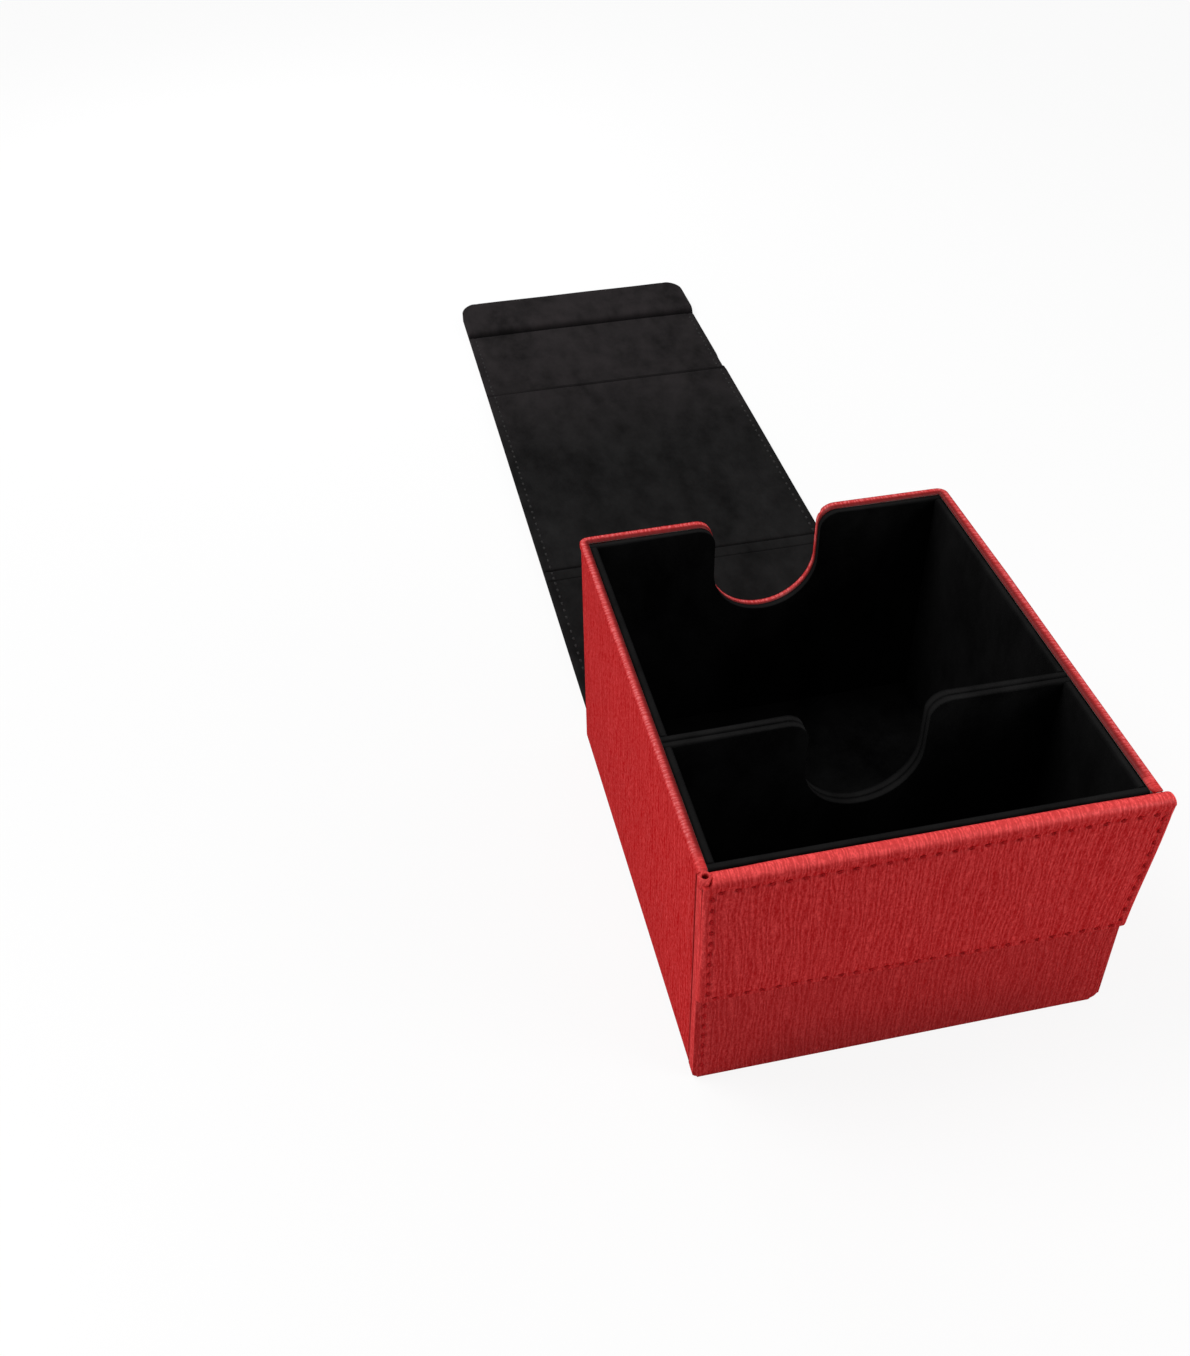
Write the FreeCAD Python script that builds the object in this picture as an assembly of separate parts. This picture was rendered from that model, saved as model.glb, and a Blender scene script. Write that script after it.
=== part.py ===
import FreeCAD, Part
import math
import os

# A card box with two lined trays and a wrap-around cover that lies open behind it.
# X runs along the front, Y from front to back and Z up. The origin is the middle of the base.
# The cover is modelled flat on the table and folds up over the rear, the top and the front.

# Box shell
box_width = 107.0
box_depth = 125.0
box_height = 73.8
wall_board_thickness = 1.5
wall_skin_thickness = 0.6
rear_corner_radius = 2.4
rim_radius = 1.0
floor_board_thickness = 1.2

# Thumb notch, the same in the rear wall and in the three tray walls behind one another
notch_width = 31.0
notch_depth = 31.0
notch_shoulder_radius = 5.0

# Lined trays
tray_wall_thickness = 2.1
tray_floor_thickness = 1.0
tray_drop = 0.6
tray_edge_radius = 0.5
front_tray_depth = 41.0

# Front pad, the stitched upper layer of the front wall
pad_core_thickness = 1.4
pad_skin_thickness = 0.8
pad_bottom = 31.2
pad_hem = 1.2
pad_corner_radius = 1.5
front_edge_radius = 0.8

# Cover layers
cover_inset = 2.5
cover_skin_thickness = 0.8
cover_lining_thickness = 0.7
bottom_core_thickness = 1.0
panel_core_thickness = 1.5
flap_core_thickness = 0.7

# Folds and the fit of the closed cover
cover_gap = 0.8
front_gap = 0.6
front_fold_radius = 6.4
front_fold_strip = 2.0
flap_foot = 0.6
strip_gap = 1.6
flap_corner_radius = 8.0

# Closing magnets, one pair in the end strip and one in the front wall
magnet_diameter = 12.0
magnet_inset = 19.0
strip_magnet_thickness = 2.0
front_magnet_thickness = 1.0

# Length by which every cutting solid passes the faces it cuts
overrun = 1.0

# Heights and build-ups that follow from the sizes above
wall = wall_board_thickness + wall_skin_thickness
pad = pad_core_thickness + pad_skin_thickness
panel = cover_skin_thickness + panel_core_thickness + cover_lining_thickness
fold_sheet = cover_skin_thickness + cover_lining_thickness
flap = fold_sheet + flap_core_thickness
strip = flap + pad
foot = cover_skin_thickness + bottom_core_thickness
floor_top = foot + floor_board_thickness
tray_floor_top = floor_top + tray_floor_thickness
tray_top = box_height - tray_drop
roll_radius = (wall + pad) / 2
roll_base = box_height - roll_radius
lid_top = box_height + cover_gap + panel

# Places in plan
half_width = box_width / 2
rear = box_depth / 2
front = -box_depth / 2
tray_half_width = half_width - wall
tray_rear = rear - wall
tray_seam = front + front_tray_depth
half_cover = half_width - cover_inset
magnet_offset = half_cover - magnet_inset

# The open cover along Y: each fold takes up the length of its arc when it lies flat
rear_fold_radius = cover_gap + panel
rear_fold = rear_fold_radius * math.pi / 2
front_fold = front_fold_radius * math.pi / 4
front_fold_reach = front_fold_radius + front_fold_strip * math.sqrt(1 / 2)
back_start = rear + rear_fold
back_end = back_start + lid_top - 2 * rear_fold_radius
top_start = back_end + rear_fold
top_end = top_start + rear - front + wall + pad + front_gap + flap - front_fold_reach
fold_strip_start = top_end + front_fold
fold_strip_end = fold_strip_start + front_fold_strip
flap_start = fold_strip_end + front_fold
flap_top = lid_top - front_fold_reach
flap_end = flap_start + flap_top - flap_foot
strip_start = flap_start + flap_top - (pad_bottom - strip_gap)
strip_middle = (strip_start + flap_end) / 2
magnet_height = flap_top - (strip_middle - flap_start)


def block(x_range, y_range, z_range):
    """Box between two limits on each axis."""
    x0, x1 = x_range
    y0, y1 = y_range
    z0, z1 = z_range
    return Part.makeBox(x1 - x0, y1 - y0, z1 - z0, FreeCAD.Vector(x0, y0, z0))


def across(half):
    """Limits of a piece centred on the middle plane of the box."""
    return (-half, half)


def edges_where(shape, test):
    """Edges of a shape whose end points all pass a test."""
    return [edge for edge in shape.Edges if all(test(v.Point) for v in edge.Vertexes)]


def near(a, b):
    """Whether two lengths agree within the modelling tolerance."""
    return math.isclose(a, b, abs_tol=1e-6)


def disc(x, y, z, axis, length):
    """Magnet disc that starts at a point and runs along an axis."""
    return Part.makeCylinder(magnet_diameter / 2, length, FreeCAD.Vector(x, y, z), axis)


def magnet_pair(y, z, axis, length):
    """Two discs, left and right of the middle plane."""
    return [disc(side * magnet_offset, y, z, axis, length) for side in (-1, 1)]


def notch_cutter(grow, rim, y_range):
    """Thumb notch through a wall: rounded shoulders, straight sides and a half-round bottom."""
    half = notch_width / 2 + grow
    shoulder = notch_shoulder_radius - grow
    bottom = box_height - notch_depth - grow
    centre = bottom + half
    corner = shoulder * (1 - math.sqrt(1 / 2))
    y0, y1 = y_range

    def at(x, z):
        return FreeCAD.Vector(x, y0, z)

    left_top = at(-half - shoulder, rim)
    left_side = at(-half, rim - shoulder)
    left_low = at(-half, centre)
    right_low = at(half, centre)
    right_side = at(half, rim - shoulder)
    right_top = at(half + shoulder, rim)
    above_right = at(half + shoulder, rim + overrun)
    above_left = at(-half - shoulder, rim + overrun)
    edges = [
        Part.Arc(left_top, at(-half - corner, rim - corner), left_side),
        Part.LineSegment(left_side, left_low),
        Part.Arc(left_low, at(0, bottom), right_low),
        Part.LineSegment(right_low, right_side),
        Part.Arc(right_side, at(half + corner, rim - corner), right_top),
        Part.LineSegment(right_top, above_right),
        Part.LineSegment(above_right, above_left),
        Part.LineSegment(above_left, left_top),
    ]
    outline = Part.Wire([edge.toShape() for edge in edges])
    return Part.Face(outline).extrude(FreeCAD.Vector(0, y1 - y0, 0))


def shell_block(inset, top):
    """Full block of the box walls, inset from the outer faces, with rounded rear corners."""
    shape = block(across(half_width - inset), (front, rear - inset), (foot, top))
    rear_edges = edges_where(shape, lambda p: near(p.y, rear - inset))
    upright = [edge for edge in rear_edges if not near(edge.BoundBox.ZLength, 0)]
    return shape.makeFillet(rear_corner_radius - inset, upright)


def rounded_rim(shape):
    """Rounds the outer edge of the rim at the sides and the rear."""
    top_edges = edges_where(shape, lambda p: near(p.z, box_height))
    rim = [edge for edge in top_edges if edge.BoundBox.YMax > front + overrun]
    return shape.makeFillet(min(rim_radius, wall_skin_thickness + wall_board_thickness), rim)


def wall_sector(points):
    """Upright prism over one wall, mitred at the rear corners."""
    corners = [FreeCAD.Vector(x, y, 0) for x, y in points]
    outline = Part.makePolygon(corners + corners[:1])
    return Part.Face(outline).extrude(FreeCAD.Vector(0, 0, box_height))


def box_walls():
    """Left, right and rear walls: a board inside, a skin outside that turns over the rim."""
    outer = rounded_rim(shell_block(0, box_height))
    inner = shell_block(wall_skin_thickness, box_height - wall_skin_thickness)
    side = [(half_width, front), (tray_half_width, front), (tray_half_width, tray_rear), (half_width, rear)]
    back = [(half_width, rear), (tray_half_width, tray_rear), (-tray_half_width, tray_rear), (-half_width, rear)]
    sectors = {
        "left": wall_sector([(-x, y) for x, y in side]),
        "right": wall_sector(side),
        "rear": wall_sector(back),
    }
    depth = (tray_rear - overrun, rear + overrun)
    skin_notch = notch_cutter(0, box_height, depth)
    board_notch = notch_cutter(wall_skin_thickness, box_height - wall_skin_thickness, depth)
    nodes = {}
    for name, sector in sectors.items():
        skin = sector.common(outer)
        board = sector.common(inner)
        if name == "rear":
            skin = skin.cut(skin_notch)
            board = board.cut(board_notch)
        nodes[name + "_wall_skin"] = skin.cut(board)
        nodes[name + "_wall_board"] = board
    return nodes


def front_wall():
    """Front wall board with its magnets, its skin, and the pad sewn over the upper part."""
    skin_face = front - wall
    pad_face = skin_face - pad
    along = FreeCAD.Vector(1, 0, 0)
    inward = FreeCAD.Vector(0, 1, 0)

    board_z = (wall_skin_thickness, roll_base)
    board = block(across(half_width - wall_skin_thickness), (front - wall_board_thickness, front), board_z)
    skin = block(across(half_width), (skin_face, front), (0, roll_base))
    upright = edges_where(skin, lambda p: near(p.y, skin_face))
    upright = [edge for edge in upright if not near(edge.BoundBox.ZLength, 0)]
    skin = skin.makeFillet(min(front_edge_radius, wall), upright).cut(board)
    magnets = magnet_pair(front - wall_board_thickness, magnet_height, inward, front_magnet_thickness)

    core_z = (pad_bottom + pad_hem, roll_base)
    core = block(across(half_width - pad_hem), (skin_face - pad_core_thickness, skin_face), core_z)
    layer = block(across(half_width), (pad_face, skin_face), (pad_bottom, roll_base))
    low_ends = edges_where(layer, lambda p: near(p.z, pad_bottom))
    low_ends = [edge for edge in low_ends if near(edge.BoundBox.XLength, 0)]
    layer = layer.makeFillet(pad_corner_radius, low_ends)
    start = FreeCAD.Vector(-half_width, front - roll_radius, roll_base)
    roll = Part.makeCylinder(roll_radius, box_width, start, along)
    hollow = Part.makeCylinder(roll_radius - pad_skin_thickness, box_width, start, along)
    upper = block(across(half_width), (pad_face, front), (roll_base, box_height))
    return {
        "front_wall_board": board.cut(Part.makeCompound(magnets)),
        "front_wall_skin": skin,
        "front_magnets": Part.makeCompound(magnets),
        "pad_core": core,
        "pad_skin": layer.cut(core).fuse(roll.cut(hollow).common(upper)).removeSplitter(),
    }


def tray_wall(x_range, y_range, notched):
    """One lined tray wall with softened top edges, notched where the thumb goes."""
    shape = block(x_range, y_range, (tray_floor_top, tray_top))
    shape = shape.makeFillet(tray_edge_radius, edges_where(shape, lambda p: near(p.z, tray_top)))
    if notched:
        y0, y1 = y_range
        shape = shape.cut(notch_cutter(0, tray_top, (y0 - overrun, y1 + overrun)))
    return shape


def tray(prefix, y_range, notched):
    """A tray of five lined boards: a floor, two sides and two ends between which the sides stand."""
    y0, y1 = y_range
    inner = (y0 + tray_wall_thickness, y1 - tray_wall_thickness)
    outer_x = across(tray_half_width)
    inner_x = tray_half_width - tray_wall_thickness
    return {
        prefix + "_floor": block(outer_x, y_range, (floor_top, tray_floor_top)),
        prefix + "_left": tray_wall((-tray_half_width, -inner_x), inner, False),
        prefix + "_right": tray_wall((inner_x, tray_half_width), inner, False),
        prefix + "_back": tray_wall(outer_x, (inner[1], y1), "back" in notched),
        prefix + "_front": tray_wall(outer_x, (y0, inner[0]), "front" in notched),
    }


def sheet(y_range, z_range):
    """Layer of the cover, as wide as the cover."""
    return block(across(half_cover), y_range, z_range)


def end_sheet(y_range, z_range):
    """Layer of the cover that ends in the rounded corners of the flap."""
    shape = sheet(y_range, z_range)
    ends = edges_where(shape, lambda p: near(p.y, flap_end))
    ends = [edge for edge in ends if not near(edge.BoundBox.ZLength, 0)]
    return shape.makeFillet(flap_corner_radius, ends)


def cover_panel(prefix, y_range):
    """Stiff panel of the cover: skin below, core between, lining on top."""
    core_top = cover_skin_thickness + panel_core_thickness
    return {
        prefix + "_skin": sheet(y_range, (0, cover_skin_thickness)),
        prefix + "_core": sheet(y_range, (cover_skin_thickness, core_top)),
        prefix + "_lining": sheet(y_range, (core_top, panel)),
    }


def fold(prefix, y_range):
    """Soft fold of the cover, where skin and lining lie on each other with no core."""
    return {
        prefix + "_skin": sheet(y_range, (0, cover_skin_thickness)),
        prefix + "_lining": sheet(y_range, (cover_skin_thickness, fold_sheet)),
    }


def front_flap():
    """Front flap: a thin panel and a thicker end strip that holds the magnets."""
    core_top = cover_skin_thickness + flap_core_thickness
    strip_core_top = strip - cover_lining_thickness
    up = FreeCAD.Vector(0, 0, 1)
    magnets = magnet_pair(strip_middle, strip_core_top - strip_magnet_thickness, up, strip_magnet_thickness)
    strip_core = end_sheet((strip_start + cover_lining_thickness, flap_end), (cover_skin_thickness, strip_core_top))
    strip_cover = end_sheet((strip_start, flap_end), (cover_skin_thickness, strip))
    return {
        "flap_skin": end_sheet((flap_start, flap_end), (0, cover_skin_thickness)),
        "flap_core": sheet((flap_start, strip_start), (cover_skin_thickness, core_top)),
        "flap_lining": sheet((flap_start, strip_start), (core_top, flap)),
        "strip_core": strip_core.cut(Part.makeCompound(magnets)),
        "strip_lining": strip_cover.cut(strip_core),
        "strip_magnets": Part.makeCompound(magnets),
    }


def base():
    """Bottom panel of the cover, glued under the box, and the floor board of the box."""
    depth = (front, rear)
    return {
        "bottom_skin": sheet(depth, (0, cover_skin_thickness)),
        "bottom_core": sheet(depth, (cover_skin_thickness, foot)),
        "floor_board": block(across(tray_half_width), (front, tray_rear), (foot, floor_top)),
    }


nodes = {}
nodes.update(base())
nodes.update(box_walls())
nodes.update(front_wall())
nodes.update(tray("rear_tray", (tray_seam, tray_rear), ("back", "front")))
nodes.update(tray("front_tray", (front, tray_seam), ("back",)))
nodes.update(fold("bottom_fold", (rear, back_start)))
nodes.update(cover_panel("back", (back_start, back_end)))
nodes.update(fold("top_fold", (back_end, top_start)))
nodes.update(cover_panel("top", (top_start, top_end)))
nodes.update(fold("front_fold_rear", (top_end, fold_strip_start)))
nodes.update(fold("front_fold_middle", (fold_strip_start, fold_strip_end)))
nodes.update(fold("front_fold_front", (fold_strip_end, flap_start)))
nodes.update(front_flap())

os.makedirs("parts", exist_ok=True)
for name, shape in nodes.items():
    shape.exportStep("parts/" + name + ".step")
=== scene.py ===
import math

import bmesh
import bpy
import numpy as np
from mathutils import Matrix, Vector


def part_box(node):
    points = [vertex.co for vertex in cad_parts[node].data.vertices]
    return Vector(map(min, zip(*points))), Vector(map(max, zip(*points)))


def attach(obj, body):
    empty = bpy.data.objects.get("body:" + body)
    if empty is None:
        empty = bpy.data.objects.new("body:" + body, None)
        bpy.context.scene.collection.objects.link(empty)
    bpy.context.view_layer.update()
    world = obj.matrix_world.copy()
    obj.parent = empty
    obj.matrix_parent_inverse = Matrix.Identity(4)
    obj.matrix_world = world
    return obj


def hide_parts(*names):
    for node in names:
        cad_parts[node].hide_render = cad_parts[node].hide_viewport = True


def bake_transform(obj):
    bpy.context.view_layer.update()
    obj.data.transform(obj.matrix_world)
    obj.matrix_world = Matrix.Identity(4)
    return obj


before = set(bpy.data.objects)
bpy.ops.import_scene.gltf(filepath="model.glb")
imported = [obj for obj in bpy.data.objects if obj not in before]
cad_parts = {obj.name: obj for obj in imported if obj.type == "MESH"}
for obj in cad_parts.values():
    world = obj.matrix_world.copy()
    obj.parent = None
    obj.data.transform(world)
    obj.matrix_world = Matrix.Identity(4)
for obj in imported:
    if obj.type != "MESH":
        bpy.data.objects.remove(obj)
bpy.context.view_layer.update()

bl_info = {
    "name": "Card box finish",
    "version": (1, 0, 0),
    "blender": (4, 5, 0),
    "location": "3D View > Sidebar > Card box",
    "description": "Dresses the card box in grained leather, velvet trays, a suede lining and stitching",
    "category": "Object",
}

MM = 0.001

# Places read from the packed model, in metres
HALF_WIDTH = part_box("right_wall_skin")[1].x
WALL = HALF_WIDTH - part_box("right_wall_skin")[0].x
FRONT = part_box("left_wall_skin")[0].y
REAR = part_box("rear_wall_skin")[1].y
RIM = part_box("left_wall_skin")[1].z
WALL_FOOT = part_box("left_wall_skin")[0].z
BASE_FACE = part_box("front_wall_skin")[0].y
BASE_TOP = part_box("front_wall_skin")[1].z
PAD_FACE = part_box("pad_skin")[0].y
PAD_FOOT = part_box("pad_skin")[0].z
HALF_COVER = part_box("top_skin")[1].x
PANEL_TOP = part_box("top_lining")[1].z
WEB_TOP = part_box("front_fold_middle_lining")[1].z
FLAP_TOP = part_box("flap_lining")[1].z
STRIP_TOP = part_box("strip_lining")[1].z
BACK_START, BACK_END = (corner.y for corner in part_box("back_skin"))
TOP_START, TOP_END = (corner.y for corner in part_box("top_skin"))
MIDDLE_START, MIDDLE_END = (corner.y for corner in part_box("front_fold_middle_skin"))
FLAP_START, FLAP_END = (corner.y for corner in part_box("flap_skin"))
STRIP_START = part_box("strip_lining")[0].y

# Places of details on the box and along the cover
BASE_WRAP = 1.8 * MM
WALL_LOW = WALL_FOOT - 0.05 * MM
PAD_BACK = BASE_FACE + 0.75 * MM
PAD_RISE = RIM - PAD_FOOT
PAD_SEAM_SIDE = HALF_WIDTH - 2.2 * MM
PAD_SEAM_LOW = PAD_FOOT + 2.0 * MM
PAD_SEAM_HIGH = RIM - 4.0 * MM
SECOND_LINE = TOP_END + 2.4 * MM
OLD_CREASE = 224.5 * MM
STRIP_FOOT = STRIP_START + 1.2 * MM

# Height above a foot from which edges count as rubbed, worn and with a painted highlight, and the depth over
# which this fades in
RUB_START = 5 * MM
RUB_REACH = 0.35 * MM

RIGHT = (1.0, 0.0, 0.0)
REARWARD = (0.0, 1.0, 0.0)
FORWARD = (0.0, -1.0, 0.0)
UP = (0.0, 0.0, 1.0)
DOWN = (0.0, 0.0, -1.0)
WHITE = (1.0, 1.0, 1.0, 1.0)

# Focal length and height of the photograph in its pixels
FOCAL_PIXELS = 1459.92
IMAGE_HEIGHT = 1356


def size_setting(name, description, millimetres):
    """Setting for a length."""
    return bpy.props.FloatProperty(
        name=name, description=description, default=millimetres * MM, unit="LENGTH")


def angle_setting(name, description, degrees):
    """Setting for an angle."""
    return bpy.props.FloatProperty(
        name=name, description=description, default=math.radians(degrees), subtype="ANGLE")


def colour_setting(name, description, red, green, blue):
    """Setting for a colour."""
    return bpy.props.FloatVectorProperty(
        name=name, description=description, default=(red, green, blue), subtype="COLOR", size=3)


class BoxSizes(bpy.types.PropertyGroup):
    """Sizes of the visible forms of the box."""

    rear_corner: size_setting("Rear corner", "Radius of the upright rear corners", 2.4)
    rim_round: size_setting("Rim rounding", "Radius of the leather where it turns over the rim", 0.98)
    rim_bead: size_setting("Rim bead", "Height of the bead that the turned leather makes along the rim", 2.2)
    bead_lift: size_setting("Bead lift", "How far the bead stands out from the wall", 0.40)
    bead_groove: size_setting("Bead groove", "Depth of the groove under the bead", 0.30)
    wall_bulge: size_setting("Wall bulge", "How far the right wall's top stands out near the front", 0.55)
    notch_width: size_setting("Notch width", "Width of the thumb notch between its straight sides", 31.0)
    notch_depth: size_setting("Notch depth", "Depth of the thumb notch below the rim", 31.0)
    notch_shoulder: size_setting("Notch shoulder", "Radius of the notch's upper corners", 5.0)
    tray_round: size_setting("Tray edge", "Radius of the velvet over the edges of the tray boards", 0.75)
    pad_leather: size_setting("Pad leather", "Thickness of the leather in the pad's rolled top edge", 0.8)
    pad_flare: size_setting("Pad flare", "How far the pad's upper right corner stands out", 2.6)
    pad_lean: size_setting("Pad lean", "How much lower the pad's foot hangs at its right end", 1.2)
    pad_crown: size_setting("Pad crown", "How far the pad swells between its foot and its top", 0.22)
    pad_groove: size_setting("Pad groove", "Depth of the grooves along the pad's seams", 0.24)
    roll_rise: size_setting("Roll rise", "How much higher the rolled edge is in its middle", 0.40)
    base_corner: size_setting("Base corner", "Radius of the lower right corner of the front wall", 2.3)


class CoverSizes(bpy.types.PropertyGroup):
    """Sizes of the visible forms of the cover."""

    end_corner: size_setting("End corner", "Radius of the corners at the end of the flap", 8.0)
    lining_round: size_setting("Lining edge", "Radius of the lining over the edge of the panels", 0.9)
    lining_groove: size_setting("Lining groove", "Depth of the grooves along the lining's seams", 0.22)
    skin_inset: size_setting("Skin inset", "How far the leather stops short of the lined edge", 0.3)
    skin_round: size_setting("Skin edge", "Radius of the leather along its edges", 0.45)
    skin_groove: size_setting("Skin groove", "Depth of the grooves along the leather's seams", 0.24)
    crease_depth: size_setting("Crease depth", "Depth of the pressed lines across the lining", 0.95)
    edge_seam: size_setting("Edge seam", "Distance of the seams from the long edges", 2.6)


class ThreadSizes(bpy.types.PropertyGroup):
    """Sizes of the sewing."""

    pitch: size_setting("Pitch", "Distance from stitch to stitch", 3.85)
    length: size_setting("Stitch length", "Length of thread that shows between two holes", 1.72)
    radius: size_setting("Thread radius", "Half the thickness of the thread", 0.46)
    slant: angle_setting("Slant", "Angle of each stitch to its seam", 9)


class Finishes(bpy.types.PropertyGroup):
    """Colours of the finishes."""

    leather: colour_setting("Leather", "Plain ground of the leather", 0.450, 0.0200, 0.0210)
    leather_ridge: colour_setting("Leather ridges", "Raised streaks of the leather", 0.570, 0.0345, 0.0350)
    # Rubbed edges: partly worn leather, partly a painted highlight on edges that face the light
    leather_rubbed: colour_setting("Rubbed leather", "Leather along rubbed edges", 0.950, 0.092, 0.090)
    # Painted highlight along the crest of the rounded rim
    leather_crest: colour_setting("Worn crest", "Leather along the crest of the rim", 0.680, 0.180, 0.185)
    leather_low: colour_setting("Leather hollows", "Hollows between the streaks", 0.322, 0.0012, 0.0025)
    velvet: colour_setting("Velvet", "Pile of the trays", 0.0042, 0.0042, 0.0043)
    # Painted highlight on the pile of the edges, where it would catch light
    velvet_rubbed: colour_setting("Rubbed velvet", "Pile along rubbed edges", 0.0125, 0.0122, 0.0122)
    lining: colour_setting("Lining", "Suede side of the cover", 0.0090, 0.0088, 0.0089)
    # Partly brushed pile, mostly painted light that grows towards the flap
    lining_brushed: colour_setting("Brushed lining", "Suede brushed up at the flap", 0.0235, 0.0200, 0.0210)
    red_thread: colour_setting("Red thread", "Thread in the leather", 0.335, 0.0125, 0.0145)
    dark_thread: colour_setting("Dark thread", "Thread in the lining", 0.0330, 0.0320, 0.0320)
    board: colour_setting("Board", "Grey board inside the walls", 0.110, 0.100, 0.090)
    steel: colour_setting("Steel", "Magnet discs", 0.56, 0.57, 0.58)
    floor: colour_setting("Floor", "Plain floor of the stage", 0.82, 0.82, 0.82)


class CameraSizes(bpy.types.PropertyGroup):
    """Place and view of the camera."""

    eye: bpy.props.FloatVectorProperty(
        name="Camera place", description="Where the camera stands",
        default=(-115.11 * MM, -262.84 * MM, 308.84 * MM), subtype="TRANSLATION", unit="LENGTH", size=3)
    yaw: angle_setting("Yaw", "Turn of the camera to the right", 11.307)
    pitch: angle_setting("Pitch", "Dip of the camera below the horizon", 40.834)
    roll: angle_setting("Roll", "Tilt of the camera about its view", -1.378)
    focal_share: bpy.props.FloatProperty(
        name="Focal share", description="Focal length over the height of the image",
        default=FOCAL_PIXELS / IMAGE_HEIGHT)


class Wire:
    """An output of a shader node. Arithmetic on it adds Math nodes to its tree."""

    def __init__(self, finish, socket):
        self.finish = finish
        self.socket = socket

    def _math(self, operation, first, second=0.0):
        return self.finish.node("Math", {"operation": operation}, {0: first, 1: second})

    def __add__(self, other):
        return self._math("ADD", self, other)

    def __sub__(self, other):
        return self._math("SUBTRACT", self, other)

    def __rsub__(self, other):
        return self._math("SUBTRACT", other, self)

    def __mul__(self, other):
        return self._math("MULTIPLY", self, other)

    def __pow__(self, other):
        return self._math("POWER", self, other)

    __radd__ = __add__
    __rmul__ = __mul__

    def sine(self):
        return self._math("SINE", self)

    def larger(self, other):
        return self._math("MAXIMUM", self, other)


def shade(colour, share):
    """Colour made darker or lighter by a share."""
    return tuple(share * c for c in colour)


class Finish:
    """The node tree of a material or of the world."""

    def __init__(self, owner):
        self.name = owner.name
        owner.use_nodes = True
        self.tree = owner.node_tree
        self.tree.nodes.clear()

    def node(self, kind, settings=None, sockets=None, output=0):
        """Adds one node: its settings first, then the values or links of its sockets."""
        node = self.tree.nodes.new("ShaderNode" + kind)
        for key, value in (settings or {}).items():
            setattr(node, key, value)
        for key, value in (sockets or {}).items():
            if isinstance(value, Wire):
                self.tree.links.new(value.socket, node.inputs[key])
            else:
                node.inputs[key].default_value = value
        return Wire(self, node.outputs[output]) if node.outputs else None

    def place(self):
        """Place on the piece, in metres."""
        return self.node("TexCoord", output="Object")

    def noise(self, place, scale, detail, rough=0.5):
        """Noise stretched by a scale on each axis."""
        stretched = self.node("VectorMath", {"operation": "MULTIPLY"}, {0: place, 1: scale})
        values = {"Vector": stretched, "Scale": 1.0, "Detail": detail, "Roughness": rough}
        return self.node("TexNoise", {}, values)

    def shift(self, place, by):
        """Place moved aside, to reach another part of a noise."""
        return self.node("VectorMath", {"operation": "ADD"}, {0: place, 1: by})

    def mark(self, name):
        """Share painted on the points of a mesh, 0 where the mesh has none."""
        return self.node("Attribute", {"attribute_name": name}, output="Fac")

    def spread(self, value, low, high):
        """Value stretched so that low becomes 0 and high becomes 1."""
        return self.node("MapRange", {"clamp": True}, {0: value, 1: low, 2: high, 3: 0.0, 4: 1.0})

    def mix(self, factor, first, second):
        """Colour between two colours."""
        first, second = (c if isinstance(c, Wire) else (*c, 1.0) for c in (first, second))
        return self.node("Mix", {"data_type": "RGBA"}, {0: factor, 6: first, 7: second}, 2)

    def shades(self, factor, colour, dark, light):
        """Colour between a darker and a lighter shade of one colour."""
        return self.mix(factor, shade(colour, dark), shade(colour, light))

    def bump(self, height, depth, strength):
        """Normal from a height in units of depth."""
        return self.node("Bump", {}, {"Height": height, "Distance": depth, "Strength": strength})

    def surface(self, sockets):
        """Ends the tree in one Principled shader."""
        self.node("OutputMaterial", {}, {"Surface": self.node("BsdfPrincipled", {}, sockets)})


def leather_finish(f, colours):
    """Artificial leather with a fine streaked grain along the second map axis."""
    place = f.node("UVMap", {"uv_map": "grain"})
    across = f.node("SeparateXYZ", {}, {0: place})
    sway = f.noise(place, (0.06, 0.04, 1.0), 0.0) - 0.5
    stray = f.noise(place, (0.60, 0.075, 1.0), 0.0) - 0.5
    rib = (across * 5.1 + sway * 10.0 + stray * 12.0).sine()
    force = f.spread(f.noise(place, (1.0, 0.50, 1.0), 1.0), 0.34, 0.62)
    thin = f.noise(f.shift(place, (31.0, 17.0, 0.0)), (3.2, 0.60, 1.0), 0.0) - 0.5
    speck = f.noise(place, (2.4, 1.5, 1.0), 1.0, 0.6) - 0.5
    grain = f.spread(rib * (0.08 + force * 0.25) + thin + speck * 1.25, -0.46, 0.54)
    patch = f.spread(f.noise(place, (0.035, 0.03, 1.0), 2.0), 0.35, 0.75)
    # Rubbed edges: worn leather and a painted highlight, lightest on the ridges
    rubbed = f.mark("rubbed") * (0.44 + f.spread(grain, 0.42, 0.85) * 0.42)
    # Crest: painted highlight along the crest of the rim
    crest = f.mark("crest") * (0.10 + f.spread(grain, 0.35, 0.80) * 0.60)
    tone = f.mix(grain ** 1.3, colours.leather_low, colours.leather_ridge)
    tone = f.mix(patch * 0.15, tone, shade(colours.leather, 0.75))
    tone = f.mix(rubbed, tone, colours.leather_rubbed)
    tone = f.mix(crest, tone, colours.leather_crest)
    # Pressed: painted shade in grooves, between parts, under the pad and on the rim's inner side
    tone = f.mix(f.mark("pressed") * 0.65, tone, shade(colours.leather, 0.35))
    facing = f.node("LayerWeight", {}, {"Blend": 0.5}, "Facing")
    f.surface({
        "Base Color": tone,
        "Roughness": 0.60 - grain * 0.12,
        "Specular IOR Level": 0.0,
        "Coat Weight": (1.0 - facing) * (1.0 - facing) * 0.36 + grain * 0.12,
        "Coat Roughness": 0.45,
        "Normal": f.bump(grain, 0.16 * MM, 0.7),
    })


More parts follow.
